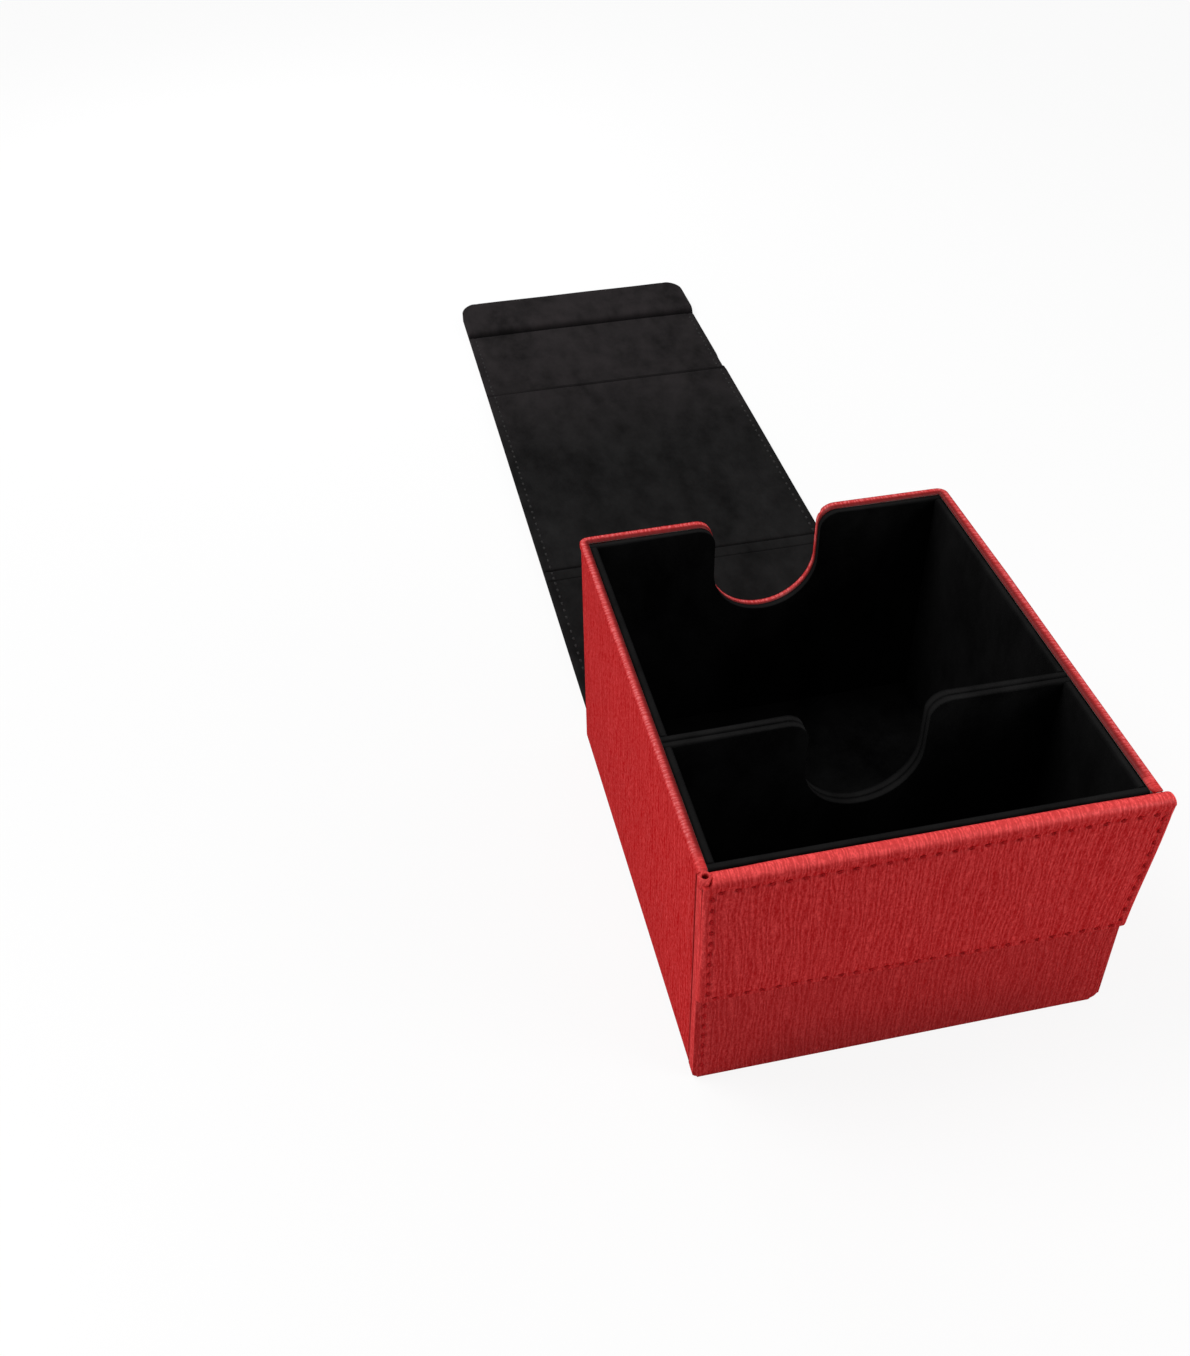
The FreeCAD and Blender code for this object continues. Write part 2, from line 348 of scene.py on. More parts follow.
def velvet_finish(f, colours):
    """Short black pile with a painted highlight along its edges."""
    place = f.place()
    pile = f.noise(place, [2600.0] * 3, 2.0, 0.6)
    nap = f.noise(place, (48.0, 48.0, 30.0), 4.0, 0.65)
    tone = f.spread(nap * 0.8 + pile * 0.2, 0.38, 0.64)
    # Painted highlight along the edges of the pile
    rubbed = f.mark("rubbed") * (0.45 + tone * 0.55)
    f.surface({
        "Base Color": f.mix(rubbed, f.shades(tone, colours.velvet, 0.40, 1.60), colours.velvet_rubbed),
        "Roughness": 0.97 - tone * 0.07,
        "Specular IOR Level": 0.0,
        "Sheen Weight": 0.012,
        "Sheen Roughness": 0.45,
        "Sheen Tint": (0.55, 0.55, 0.56, 1.0),
        "Normal": f.bump(pile, 0.12 * MM, 0.5),
    })


def suede_finish(f, colours):
    """Charcoal suede with random patches, painted light that grows towards the flap, and pressed lines
    darkened with painted shade.
    """
    place = f.place()
    pile = f.noise(place, [2200.0] * 3, 2.0, 0.6)
    streak = f.noise(place, (150.0, 85.0, 85.0), 3.0, 0.65)
    cloud = f.noise(place, (40.0, 22.0, 22.0), 2.0, 0.6)
    tone = f.spread(streak * 0.50 + cloud * 0.40 + pile * 0.10, 0.36, 0.66)
    # Brushed pile and painted light, growing towards the flap
    brushed = f.mark("brushed") * (0.25 + tone * 0.75)
    colour = f.mix(brushed, f.shades(tone, colours.lining, 0.60, 1.55), colours.lining_brushed)
    f.surface({
        # Pressed lines: pressed pile and painted shade in the creases
        "Base Color": f.mix(f.mark("pressed") * 0.95, colour, shade(colours.lining, 0.2)),
        "Roughness": 0.95 - tone * 0.08,
        "Specular IOR Level": 0.0,
        "Sheen Weight": 0.012,
        "Sheen Roughness": 0.5,
        "Sheen Tint": (0.75, 0.70, 0.70, 1.0),
        "Normal": f.bump(pile * 0.6 + streak * 0.4, 0.14 * MM, 0.5),
    })


def thread_finish(f, colours):
    """Twisted sewing thread, in the colour that has the material's name."""
    twist = f.noise(f.place(), [3000.0] * 3, 1.0)
    tone = f.spread(twist, 0.35, 0.65)
    f.surface({
        "Base Color": f.shades(tone, getattr(colours, f.name), 0.6, 1.25),
        "Roughness": 0.75 - tone * 0.15,
        "Specular IOR Level": 0.0,
        "Normal": f.bump(twist, 0.10 * MM, 0.6),
    })


def board_finish(f, colours):
    """Pressed grey board with flecks."""
    fibre = f.noise(f.place(), [900.0] * 3, 4.0, 0.7)
    fleck = f.spread(fibre, 0.35, 0.70)
    f.surface({
        "Base Color": f.shades(fleck, colours.board, 0.7, 1.2),
        "Roughness": 0.92 - fleck * 0.08,
        "Normal": f.bump(fibre, 0.05 * MM, 0.5),
    })


def steel_finish(f, colours):
    """Plated magnet discs with fine turning marks."""
    mark = f.spread(f.noise(f.place(), [400.0] * 3, 3.0, 0.6), 0.35, 0.65)
    f.surface({
        "Base Color": f.shades(mark, colours.steel, 0.85, 1.0),
        "Metallic": 1.0,
        "Roughness": 0.28 + mark * 0.15,
    })


def backdrop_share(f):
    """1 for rays that look straight at, mirror or pass to the backdrop, 0 for rays that light the object."""
    seen = f.node("LightPath", output="Is Camera Ray")
    mirrored = f.node("LightPath", output="Is Glossy Ray")
    passed = f.node("LightPath", output="Is Transmission Ray")
    return seen.larger(mirrored.larger(passed))


def floor_finish(f, colours):
    """Pale floor that fades into the white backdrop far from the box."""
    place = f.place()
    speckle = f.noise(place, [9.0] * 3, 3.0)
    far = f.spread(f.node("VectorMath", {"operation": "LENGTH"}, {0: place}, "Value"), 0.6, 2.2)
    tone = f.shades(speckle, colours.floor, 0.985, 1.0)
    lit = f.node("BsdfPrincipled", {}, {"Base Color": tone, "Roughness": 1.0, "Specular IOR Level": 0.0})
    glow = f.node("Emission", {}, {"Color": WHITE, "Strength": 1.0})
    both = f.node("MixShader", {}, {0: backdrop_share(f) * (0.88 + far * 0.12), 1: lit, 2: glow})
    f.node("OutputMaterial", {}, {"Surface": both})


MAKERS = {
    "streaked_leather": leather_finish,
    "tray_velvet": velvet_finish,
    "charcoal_suede": suede_finish,
    "red_thread": thread_finish,
    "dark_thread": thread_finish,
    "grey_board": board_finish,
    "plated_steel": steel_finish,
    "pale_floor": floor_finish,
}


def finish(name):
    """Material of that name, made on first use."""
    material = bpy.data.materials.get(name)
    if not material:
        material = bpy.data.materials.new(name)
        MAKERS[name](Finish(material), bpy.context.scene.finishes)
    return material


def ramp(value, start, length):
    """Share that is 0 up to a start and rises smoothly to 1 over a length."""
    t = np.clip((value - start) / length, 0.0, 1.0)
    return t * t * (3 - 2 * t)


def hump(gap, width):
    """Share that is 1 where a gap is nothing and fades out over a width on both sides."""
    return np.exp(-(gap / width) ** 2)


def points_of(bm):
    """Three arrays with the places of all points of a bmesh."""
    return np.array([v.co for v in bm.verts]).T


def new_piece(name, bm, material, grain=None, marks=None, sides=False):
    """Object from a bmesh. grain gives the leather's map, two lengths in millimetres for each vertex,
    and marks gives named shares for each vertex. With sides, faces to the left and right take their map
    from depth and height."""
    mesh = bpy.data.meshes.new(name)
    bm.normal_update()
    bm.to_mesh(mesh)
    bm.free()
    mesh.polygons.foreach_set("use_smooth", np.ones(len(mesh.polygons), bool))
    if grain is not None:
        layer = mesh.uv_layers.new(name="grain")
        corner = np.zeros(len(mesh.loops), np.int32)
        mesh.loops.foreach_get("vertex_index", corner)
        layer.uv.foreach_set("vector", np.asarray(grain, np.float32)[corner].ravel())
        sideways = [face for face in mesh.polygons if sides and abs(face.normal.x) > 0.8]
        for loop in (loop for face in sideways for loop in face.loop_indices):
            place = mesh.vertices[corner[loop]].co
            layer.uv[loop].vector = (place.y / MM, place.z / MM)
    for mark, shares in (marks or {}).items():
        mesh.attributes.new(mark, "FLOAT", "POINT").data.foreach_set("value", np.asarray(shares, np.float32))
    mesh.materials.append(finish(material))
    piece = bpy.data.objects.new(name, mesh)
    bpy.context.scene.collection.objects.link(piece)
    return piece


def settle(piece, body, nodes):
    """Puts a piece on its body in place of CAD nodes."""
    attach(piece, body)
    if nodes:
        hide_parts(*nodes)


def dress(node, material):
    """Gives a CAD node its material."""
    node.data.materials.clear()
    node.data.materials.append(finish(material))


def arc_points(centre, radius, start, end, steps=6):
    """Points on an arc from one angle to another."""
    turn = [start + (end - start) * k / steps for k in range(steps + 1)]
    return [(centre[0] + radius * math.cos(a), centre[1] + radius * math.sin(a)) for a in turn]


def notch_points(rim):
    """Outline of the thumb notch from its left shoulder down and up to its right one."""
    sizes = bpy.context.scene.box_sizes
    half, shoulder = sizes.notch_width / 2, sizes.notch_shoulder
    centre = RIM - sizes.notch_depth + half
    left = arc_points((-half - shoulder, rim - shoulder), shoulder, math.pi / 2, 0.0, 10)
    bowl = arc_points((0.0, centre), half, math.pi, 2 * math.pi, 40)
    return left + bowl + [(-x, z) for x, z in reversed(left)]


def front_outline(half, foot, top, left, right):
    """Outline of a layer of the front wall with rounded lower corners, each of its own radius."""
    low_left = arc_points((left - half, foot + left), left, 1.5 * math.pi, math.pi)
    low_right = arc_points((half - right, foot + right), right, 2 * math.pi, 1.5 * math.pi)
    return low_left + [(-half, top), (half, top)] + low_right


def stations(low, high, step, fine):
    """Sorted places from low to high: even steps, and every fine place between them."""
    closest = 0.04 * MM
    even = np.linspace(low, high, max(2, round((high - low) / step) + 1))
    inside = [p for p in fine if low < p < high]
    places = sorted({round(float(p), 7) for p in [*even, *inside]})
    kept = [places[0]]
    for p in places[1:]:
        if p - kept[-1] > closest:
            kept.append(p)
    kept[-1] = float(high)
    return kept


def sheet_faces(bm, rows):
    """Faces between rows of points."""
    for here, there in zip(rows, rows[1:]):
        for k in range(len(here) - 1):
            bm.faces.new((here[k], here[k + 1], there[k + 1], there[k]))


def tube_faces(bm, rings):
    """Faces between closed rings of points."""
    sheet_faces(bm, [ring + ring[:1] for ring in rings])


def plate(outline, rounding, depth, cuts=(), levels=(), segments=4, inner_rounding=None):
    """Plate over an outline in its own plane, with each outline edge rounded on both faces by its own radius.
    It gets points where cuts and levels cross it."""
    bm = bmesh.new()
    outer = [bm.verts.new((a, b, 0.0)) for a, b in outline]
    inner = [bm.verts.new((a, b, depth)) for a, b in outline]
    bm.faces.new(outer)
    bm.faces.new(inner[::-1])
    count = len(outline)
    for i in range(count):
        j = (i + 1) % count
        bm.faces.new((outer[i], inner[i], inner[j], outer[j]))
    radius = bm.edges.layers.float.new("radius")
    for ring, sizes in ((outer, rounding), (inner, inner_rounding or rounding)):
        for i in range(count):
            bm.edges.get((ring[i], ring[(i + 1) % count]))[radius] = sizes[i]
    for size in sorted({r for r in [*rounding, *(inner_rounding or ())] if r > 0}, reverse=True):
        edges = [e for e in bm.edges if abs(e[radius] - size) < 1e-9]
        for edge in edges:
            edge[radius] = 0.0
        bmesh.ops.bevel(bm, geom=edges, offset=size, offset_type="OFFSET", segments=segments, profile=0.5,
                        affect="EDGES", clamp_overlap=True)
    planes = [((a, 0.0, 0.0), RIGHT) for a in cuts] + [((0.0, b, 0.0), REARWARD) for b in levels]
    for place, normal in planes:
        everything = bm.verts[:] + bm.edges[:] + bm.faces[:]
        bmesh.ops.bisect_plane(bm, geom=everything, plane_co=place, plane_no=normal)
    bmesh.ops.triangulate(bm, faces=[f for f in bm.faces if len(f.verts) > 4])
    return bm


def place_plate(bm, place, low=0.0, reach=RUB_REACH):
    """Moves every point of a plate. Returns its grain map and the share of its rounded edges that is rubbed
    and gets a painted highlight.
    """
    a, b, depth = points_of(bm)
    grain = np.stack((a, b + depth), axis=1) / MM
    rubbed = ramp(np.minimum(depth, depth.max() - depth), 0.0, reach) * (b > low)
    for v in bm.verts:
        v.co = place(*v.co)
    bmesh.ops.recalc_face_normals(bm, faces=bm.faces)
    return grain, rubbed


def even_shading(piece):
    """Lets the large faces of a plate set the shading, so that only its rounded edges look round."""
    piece.modifiers.new("even_shading", "WEIGHTED_NORMAL")


def wall_runs():
    """Lengths along the walls: a side, a rear corner, and all of it up to the middle of the rear wall."""
    corner = bpy.context.scene.box_sizes.rear_corner
    side, turn = REAR - FRONT - corner, corner * math.pi / 2
    return side, turn, side + turn + HALF_WIDTH - corner


def wall_path(along, depth):
    """Plan of the walls: from the front of the left wall round the rear to the front of the right one."""
    corner = bpy.context.scene.box_sizes.rear_corner
    side, turn, half = wall_runs()
    if along > half:
        x, y = wall_path(2 * half - along, depth)
        return -x, y
    if along <= side:
        return depth - HALF_WIDTH, FRONT + along
    if along <= side + turn:
        a = (along - side) / corner
        reach = corner - depth
        return corner - HALF_WIDTH - reach * math.cos(a), REAR - corner + reach * math.sin(a)
    return corner - HALF_WIDTH + along - side - turn, REAR - depth


def wall_plate(length, bead):
    """Flat plate of the wall leather: its front ends step over the base, its top has the notch."""
    sizes = bpy.context.scene.box_sizes
    side, turn, half = wall_runs()
    edge, inner_edge = 0.85 * MM, 0.7 * MM
    step_low, step_high, over = BASE_TOP - 1.0 * MM, BASE_TOP + 0.8 * MM, 0.5 * MM
    notch = [(half + x, z) for x, z in notch_points(RIM)]
    lip = [(BASE_WRAP, WALL_LOW), (BASE_WRAP, step_low), (0.0, step_high), (-over, RIM)]
    outline = lip + notch + [(length - a, z) for a, z in reversed(lip)]
    rounding = [edge] * 3 + [sizes.rim_round] * (len(notch) + 1) + [edge] * 3 + [0.0]
    inner_rounding = [inner_edge if r else 0.0 for r in rounding]
    bends = [side + turn * k / 8 for k in range(9)]
    ends = [a * MM for a in (0.9, 1.1, 3.1, 5.2, 7.3)] + [BASE_WRAP + a * MM for a in (0.9, 1.1)]
    cuts = [*bends, *(length - a for a in bends), *ends, *(length - a for a in ends)]
    cuts += [length - side + k * 10 * MM for k in (1, 2, 3, 4)]
    levels = [bead + a * MM for a in (-1.0, -0.7, -0.4, -0.2, 0.0, 0.2, 0.4, 0.7)]
    return plate(outline, rounding, WALL, cuts, levels, inner_rounding=inner_rounding)


class CARDBOX_OT_walls(bpy.types.Operator):
    """Leather round the left, rear and right walls, in one piece, turned over the rim and the notch"""

    bl_idname = "cardbox.walls"
    bl_label = "Leather walls"

    def execute(self, context):
        sizes = context.scene.box_sizes
        side, _, half = wall_runs()
        length, bead = 2 * half, RIM - sizes.rim_bead
        upper = WALL_LOW + RUB_START
        bm = wall_plate(length, bead)
        a, z, depth = points_of(bm)
        end, across = np.minimum(a, length - a), depth / WALL
        # Groove under the bead: cut into the leather, and also darkened with painted shade
        groove = hump(z - bead, 0.42 * MM) * (depth < 0.01 * MM)
        # Painted shade on the wall's front ends, where they meet the base
        ends = (1.0 - ramp(end, BASE_WRAP, 0.7 * MM)) * (z < BASE_TOP)
        rim = ramp(end, 1.2 * MM, 6 * MM) * (z > upper)
        # Crest: painted highlight along the middle of the rounded rim
        crest = rim * ramp(depth, 0.0, 0.3 * MM) * hump(across - 0.30, 0.24)
        # Painted shade on the rim's inner side, darkening towards the tray
        inside = 1.54 * rim * ramp(across, 0.38, 0.40)
        for v, share in zip(bm.verts, groove):
            v.co.z += sizes.bead_groove * share

        def place(a, z, depth):
            bulge = sizes.wall_bulge * np.clip((a - length + side) / (40 * MM), 0.0, 1.0) * z / RIM
            out = sizes.bead_lift * ramp(z, bead - 0.2 * MM, 0.8 * MM) + bulge
            return *wall_path(a, depth - out * (1.0 - depth / WALL)), z

        grain, rubbed = place_plate(bm, place, upper)
        # Rubbed edges: worn and with a painted highlight; pressed: the painted shade marked above
        marks = {"rubbed": 0.65 * rubbed * (1.0 - ends), "crest": crest,
                 "pressed": np.max((groove, ends, inside), axis=0)}
        piece = new_piece("wall_leather", bm, "streaked_leather", grain, marks)
        even_shading(piece)
        settle(piece, "box", ["left_wall_skin", "rear_wall_skin", "right_wall_skin"])
        return {"FINISHED"}


def base_piece():
    """Lower leather layer of the front wall, with painted shade under the pad, along its foot and at the
    joint with the side walls.
    """
    corner, edge = bpy.context.scene.box_sizes.base_corner, 0.7 * MM
    outline = front_outline(HALF_WIDTH, 0.0, BASE_TOP, corner / 2, corner)
    cuts, levels = [k * 10 * MM for k in range(-5, 6)], [k * 3 * MM for k in range(1, 9)]
    bm = plate(outline, [edge] * len(outline), FRONT - BASE_FACE + BASE_WRAP, cuts, levels)
    grain, rubbed = place_plate(bm, lambda a, z, depth: (a, BASE_FACE + depth, z))
    x, y, z = points_of(bm)
    # Painted shade at the joint with the side walls
    joint = ramp(y, FRONT + BASE_WRAP - 0.8 * MM, 0.6 * MM)
    # Painted shadow, darker towards the table
    foot = (1.0 - ramp(z, 0.0, 20 * MM)) * (1.0 - ramp(abs(x), 28 * MM, 20 * MM))
    # Pressed: painted shade over the whole layer under the pad, more towards the table and at the joint
    marks = {"rubbed": 0.6 * rubbed * (1.0 - joint), "pressed": np.maximum(joint, 0.33 + 0.36 * foot)}
    piece = new_piece("front_leather", bm, "streaked_leather", grain, marks, True)
    even_shading(piece)
    settle(piece, "box", ["front_wall_skin"])


def pad_flare(x, z):
    """Sideways lean of the pad's upper right corner."""
    rise = ramp(z, PAD_FOOT, PAD_RISE)
    return bpy.context.scene.box_sizes.pad_flare * rise * ramp(x / HALF_WIDTH, 0.3, 0.7)


def pad_lean(x, z):
    """How far a point of the pad hangs lower towards its right end."""
    drop = 1.0 - ramp(z, PAD_FOOT, PAD_RISE)
    return bpy.context.scene.box_sizes.pad_lean * drop * ramp(x, -HALF_WIDTH, 2 * HALF_WIDTH)


def pad_seam(x, z, width):
    """Share of the pad's seam lines at a point, 1 on a line and fading over a width."""
    beside = max(z - PAD_SEAM_HIGH, PAD_SEAM_LOW - z, 0.0)
    past = max(abs(x) - PAD_SEAM_SIDE, 0.0)
    gaps = [math.hypot(abs(x) - PAD_SEAM_SIDE, beside), math.hypot(z - PAD_SEAM_HIGH, past),
            math.hypot(z - PAD_SEAM_LOW, past)]
    return hump(min(gaps), width)


def pad_height(x, z):
    """Thickness of the pad over the front wall: rounded ends, thin foot, pressed in along its seams."""
    sizes = bpy.context.scene.box_sizes
    edge, thin = 1.1 * MM, 0.75 * MM
    from_end = np.clip(HALF_WIDTH - abs(x), 0.0, edge)
    ends = edge - np.sqrt(edge ** 2 - (edge - from_end) ** 2)
    foot = thin * hump(z - PAD_FOOT, 0.8 * MM)
    pressed = sizes.pad_groove * pad_seam(x, z, 0.55 * MM)
    sunk = sizes.pad_crown * (1.0 - math.sin(math.pi * np.clip((z - PAD_FOOT) / PAD_RISE, 0, 1)))
    return BASE_FACE - PAD_FACE - sunk - ends - foot - pressed


def pad_profile(x):
    """Closed section of the pad at one place along the front: foot, face, rolled top edge and its hollow."""
    sizes = bpy.context.scene.box_sizes
    fine = [seam + a * MM for seam in (PAD_SEAM_LOW, PAD_SEAM_HIGH)
            for a in (-1.2, -0.8, -0.5, -0.25, 0.0, 0.25, 0.5, 0.8, 1.2)]
    rows = stations(PAD_FOOT + 1.0 * MM, BASE_TOP, 2.4 * MM, fine)
    foot = pad_height(x, PAD_FOOT)
    bend = min(0.8 * MM, 0.8 * foot)
    points = [(PAD_BACK, PAD_FOOT)]
    points += [(BASE_FACE - foot + bend - bend * math.sin(a), PAD_FOOT + bend - bend * math.cos(a))
               for a in (0.0, 0.35, 0.7, 1.05, 1.4)]
    points += [(BASE_FACE - pad_height(x, z), z) for z in rows[:-1]]
    roll = (FRONT - PAD_FACE) / 2
    middle = FRONT - roll
    end = np.clip((HALF_WIDTH - x) / (1.5 * MM), 0.0, 1.0)
    round_end = 0.45 + 0.55 * math.sqrt(1 - (1 - end) ** 2)
    rise = min(round_end, 0.2 + 0.8 * ramp(x, 1.6 * MM - HALF_WIDTH, 0.9 * MM))
    ahead = 0.5 * roll * (1 + round_end)
    crest = roll + sizes.roll_rise * (1.0 - ramp(abs(x), HALF_WIDTH - 19 * MM, 12 * MM))
    for a in (math.pi * k / 16 for k in range(17)):
        reach = ahead if math.cos(a) > 0 else roll
        points.append((middle - reach * math.cos(a), BASE_TOP + crest * rise * math.sin(a)))
    points += arc_points((middle, BASE_TOP), (roll - sizes.pad_leather) * rise, 0.0, math.pi, 12)
    return points + [(PAD_BACK, BASE_TOP)]


def pad_piece():
    """Sewn pad, rubbed and with a painted highlight along its roll, its ends and its foot."""
    near = (0.0, 0.08, 0.25, 0.5, 0.8, 1.1, 1.4, 1.7, 1.95, 2.2, 2.45, 2.7, 3.0, 3.4)
    fine = [side * (HALF_WIDTH - a * MM) for side in (-1, 1) for a in near]
    grain_start = 11.0
    bm = bmesh.new()
    rings, grain, rubbed = [], [], []
    for x in stations(-HALF_WIDTH, HALF_WIDTH, 3.0 * MM, fine):
        y, z = np.array(pad_profile(x)).T
        rings.append([bm.verts.new(p) for p in zip(x + pad_flare(x, z), y, z - pad_lean(x, z))])
        run = np.append(0.0, np.cumsum(np.hypot(np.diff(y), np.diff(z))))
        grain += [(x / MM, r / MM + grain_start) for r in run]
        # Worn and painted highlight on the roll, the pad's ends and its foot
        roll = ramp(z, BASE_TOP + 0.7 * MM, 1.4 * MM)
        ends = 0.45 * ramp(abs(x), HALF_WIDTH - 1.2 * MM, 1.0 * MM)
        foot = 0.35 * (1.0 - ramp(z, PAD_FOOT, 1.0 * MM))
        rubbed.extend(np.maximum(np.maximum(roll, foot), ends))
    tube_faces(bm, rings)
    caps = [bm.faces.new(rings[0][::-1]), bm.faces.new(rings[-1])]
    bmesh.ops.triangulate(bm, faces=caps)
    bmesh.ops.recalc_face_normals(bm, faces=bm.faces)
    piece = new_piece("pad_leather", bm, "streaked_leather", grain, {"rubbed": rubbed}, True)
    piece.data.set_sharp_from_angle(angle=math.radians(48))
    settle(piece, "box", ["pad_skin"])


def loop_piece():
    """Small open loop of leather at the left end of the roll, with painted shade inside."""
    outer, hole, low = 1.5 * MM, 0.78 * MM, BASE_TOP - 1.2 * MM
    edge = (outer - hole) / 2
    x, y = 0.9 * MM - HALF_WIDTH, FRONT - 1.85 * MM
    section = [(outer, low)] + arc_points((hole + edge, RIM - edge), edge, 0.0, math.pi)
    section += [(hole, RIM - 1.0 * MM), (hole, low)]
    turns = [2 * math.pi * k / 24 for k in range(24)]
    bm = bmesh.new()
    rings, grain, rubbed, pressed = [], [], [], []
    for reach, z in section:
        rings.append([bm.verts.new((x + reach * math.cos(a), y + reach * math.sin(a), z)) for a in turns])
        grain += [(reach * a / MM, z / MM) for a in turns]
        # Worn and painted highlight round the top of the loop
        rubbed += [0.8 * ramp(z, RIM - 1.2 * MM, 1.0 * MM)] * len(turns)
        # Painted shade inside the hole of the loop
        pressed += [float(reach <= hole and z < RIM - 0.5 * MM)] * len(turns)
    tube_faces(bm, rings)
    bm.faces.new(rings[-1])
    bmesh.ops.recalc_face_normals(bm, faces=bm.faces)
    piece = new_piece("pad_loop", bm, "streaked_leather", grain, {"rubbed": rubbed, "pressed": pressed})
    settle(piece, "box", [])


class CARDBOX_OT_front(bpy.types.Operator):
    """Front wall: its lower leather layer, the sewn pad with the rolled top edge and the loop beside it"""

    bl_idname = "cardbox.front"
    bl_label = "Front wall and pad"

    def execute(self, context):
        base_piece()
        pad_piece()
        loop_piece()
        return {"FINISHED"}


def tray_wall(tray, side):
    """Velvet board on one side of a tray. Those across the box have the thumb notch, except the foremost."""
    node = f"{tray}_{side}"
    rounding = bpy.context.scene.box_sizes.tray_round
    low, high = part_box(node)
    lengthwise = side in ("left", "right")
    start, end = (low.y, high.y) if lengthwise else (low.x, high.x)
    notch = [] if lengthwise or node == "front_tray_front" else notch_points(high.z)
    outline = [(start, low.z), (start, high.z), *notch, (end, high.z), (end, low.z)]
    edges = [0.0] + [rounding] * (len(outline) - 3) + [0.0, 0.0]
    bm = plate(outline, edges, high.x - low.x if lengthwise else high.y - low.y)

    def place(along, z, depth):
        return (low.x + depth, along, z) if lengthwise else (along, low.y + depth, z)

    _, rubbed = place_plate(bm, place, low.z + RUB_START, rounding)
    # Painted light: the right walls face the light, so all of their pile is painted lighter
    if side == "right":
        rubbed = np.maximum(rubbed, 0.32)
    piece = new_piece(f"{node}_velvet", bm, "tray_velvet", None, {"rubbed": rubbed})
    even_shading(piece)
    settle(piece, "box", [node])


class CARDBOX_OT_trays(bpy.types.Operator):
    """Velvet boards of the two trays, with soft edges and the thumb notches"""

    bl_idname = "cardbox.trays"
    bl_label = "Velvet trays"

    def execute(self, context):
        for tray in ("rear_tray", "front_tray"):
            for side in ("left", "right", "back", "front"):
                tray_wall(tray, side)
            dress(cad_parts[f"{tray}_floor"], "tray_velvet")
        return {"FINISHED"}


def cover_width(y):
    """Half width of the cover at a place along it, with the rounded corners at its end."""
    corner = bpy.context.scene.cover_sizes.end_corner
    into = np.clip(y - (FLAP_END - corner), 0.0, corner)
    return HALF_COVER - corner + np.sqrt(corner ** 2 - into ** 2)


def lining_levels():
    """Places along the cover and the height of the lining there, with the pressed lines at the folds.
    Each run is a list of steps in millimetres: how far from a line, and how far from a height."""
    crease = bpy.context.scene.cover_sizes.crease_depth
    fold, web, thin = 1.6 * MM, PANEL_TOP - 0.30 * MM, WEB_TOP + 0.1 * MM
    panel_side = ((1.3, 0.0), (0.5, -0.12), (0.25, -0.30))
    web_side = ((0.25, -0.25), (0.5, -0.10), (1.1, 0.0))
    levels = [(REAR, fold), (FLAP_START - 1.0 * MM, thin), (FLAP_START + 2.0 * MM, FLAP_TOP),
              (FLAP_END, STRIP_TOP)]

    def run(line, way, height, steps):
        levels.extend((line + way * a * MM, height + b * MM) for a, b in steps)

    run(REAR, 1, fold, [(2.0, 0.0)])
    run(BACK_START, 1, fold, [(-0.3, 0.4), (0.0, 0.6)])
    run(BACK_START, 1, PANEL_TOP, [(0.6, -0.15), (1.4, 0.0)])
    for first, last in ((BACK_END, TOP_START), (TOP_END, SECOND_LINE)):
        run(first, -1, PANEL_TOP, panel_side)
        run(first, 1, web, web_side)
        run(last, -1, web, web_side)
        levels += [(first, PANEL_TOP - crease), (last, PANEL_TOP - crease)]
    run(TOP_START, 1, PANEL_TOP, panel_side)
    run(SECOND_LINE, 1, thin, [(0.25, 0.35), (0.6, 0.1), (1.4, 0.0)])
    run(STRIP_FOOT, 1, FLAP_TOP, [(-1.4, 0.0), (-0.6, -0.25), (0.0, -0.30), (0.5, 0.35)])
    run(STRIP_FOOT, 1, STRIP_TOP, [(1.1, -0.85), (1.8, -0.40), (2.6, -0.12), (3.6, 0.0)])
    return np.array(sorted(levels))


def lining_height(x, y, levels):
    """Height of the lining: folds, seam grooves along the edges, slack between them and one old crease."""
    sizes = bpy.context.scene.cover_sizes
    base = np.interp(y, levels[:, 0], levels[:, 1])
    seam = HALF_COVER - sizes.edge_seam
    groove = sizes.lining_groove * hump(abs(x) - seam, 0.55 * MM)
    slack = 0.07 * MM * np.sin(x / (17 * MM) + 1.1) * math.sin(y / (23 * MM) + 0.4)
    slack = slack + 0.04 * MM * np.sin(x / (7 * MM) + y / (11 * MM))
    beside = y - (OLD_CREASE + 1.8 * MM * np.sin(x / (19 * MM)))
    reach = ramp(x, -12 * MM, 20 * MM) * (1.0 - ramp(x, 29 * MM, 20 * MM))
    ridge = 0.22 * MM * reach * hump(beside, 1.6 * MM)
    return base - groove + slack + ridge


def lining_pressed_shade(x, y):
    """Share of pressed pile with painted shade: the lines across the lining, and the band between those of
    the front fold.
    """
    lines = ((BACK_END, 0.45, 0.30), (TOP_START, 0.45, 0.30), (TOP_END, 0.45, 0.60),
             (SECOND_LINE, 0.45, 0.70), (STRIP_FOOT, 0.62, 0.95))
    line = max(share * hump(place - y, reach * MM) for place, reach, share in lines)
    fade = 0.8 * MM
    band = ramp(y, TOP_END - 0.5 * MM, fade) * (1.0 - ramp(y, SECOND_LINE, fade))
    return np.maximum(line, band * (0.20 + 0.30 * ramp(x, -45 * MM, 30 * MM)))


def lining_brushed(y):
    """Share of brushed pile and painted light, growing towards the flap and full on its end strip."""
    return 0.75 * ramp(y, TOP_END - 65 * MM, 75 * MM) + 0.25 * float(y > STRIP_START)


